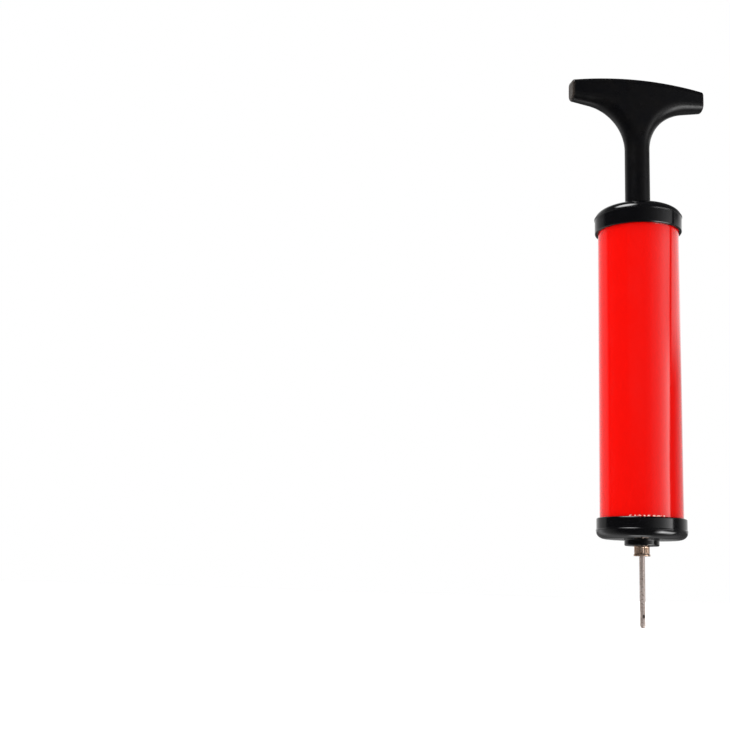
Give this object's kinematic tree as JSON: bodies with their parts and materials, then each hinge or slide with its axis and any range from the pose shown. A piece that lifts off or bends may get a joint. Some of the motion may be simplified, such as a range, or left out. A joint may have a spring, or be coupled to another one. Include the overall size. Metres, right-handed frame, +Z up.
{
  "type": "ball inflation pump",
  "caption": "Hand pump for sports balls: T-handled plunger in a round plastic barrel with domed black end caps and a screw-in inflation needle",
  "frame": {"origin": "tip of the needle, on the axis of the barrel", "axes": "+Z up along the barrel towards the handle, X along the handle's grip, Y across it"},
  "size_m": [0.0534, 0.0328, 0.2082],
  "materials": {
    "barrel": "glossy extruded red plastic",
    "caps": "glossy moulded black plastic",
    "handle": "satin moulded black plastic",
    "nylon": "natural off-white nylon",
    "seals": "black nitrile rubber",
    "insert": "turned brass",
    "needle": "nickel-plated, drawn and turned",
    "steel": "zinc-plated steel"
  },
  "bodies": {
    "barrel": {"barrel_tube": "barrel", "top_cap": "caps", "rod_guide_bush": "nylon", "bottom_cap": "caps", "cap_o_ring": "seals", "end_gasket": "seals", "needle_insert": "insert", "valve_plug": "nylon", "valve_spring": "steel"},
    "bump_ring": {"bump_ring": "seals"},
    "plunger": {"handle_and_rod": "handle", "piston_head": "nylon", "piston_retainer": "nylon", "piston_washer": "steel", "piston_screw": "steel"},
    "piston_ring": {"piston_o_ring": "seals"},
    "valve": {"valve_poppet": "nylon", "poppet_seal": "seals"},
    "needle_seal": {"needle_washer": "seals"},
    "needle": {"needle_base": "needle", "needle_tube": "needle"}
  },
  "joints": [
    {"name": "plunger_stroke", "type": "slide", "parent": "barrel", "child": "bump_ring", "axis": [0, 0, 1], "range_m": [0, 0.086]},
    {"name": "handle_turn", "type": "hinge", "parent": "bump_ring", "child": "plunger", "pos_m": [0, 0, 0.1], "axis": [0, 0, 1], "continuous": true},
    {"name": "piston_ring_float", "type": "slide", "parent": "plunger", "child": "piston_ring", "axis": [0, 0, 1], "range_m": [0, 0.0012]},
    {"name": "outlet_valve_open", "type": "slide", "parent": "barrel", "child": "valve", "axis": [0, 0, -1], "range_m": [0, 0.0008], "stiffness_N_per_m": 60, "springref_m": -0.003, "deforming": ["valve_spring"]},
    {"name": "needle_out", "type": "slide", "parent": "barrel", "child": "needle_seal", "axis": [0, 0, -1], "range_m": [0, 0.006]},
    {"name": "needle_turn", "type": "hinge", "parent": "needle_seal", "child": "needle", "pos_m": [0, 0, 0.03], "axis": [0, 0, -1], "range_deg": [0, 2700]}
  ],
  "couplings": [
    {"joint": "needle_turn", "follows": "needle_out", "rad_per_m": 7854}
  ]
}
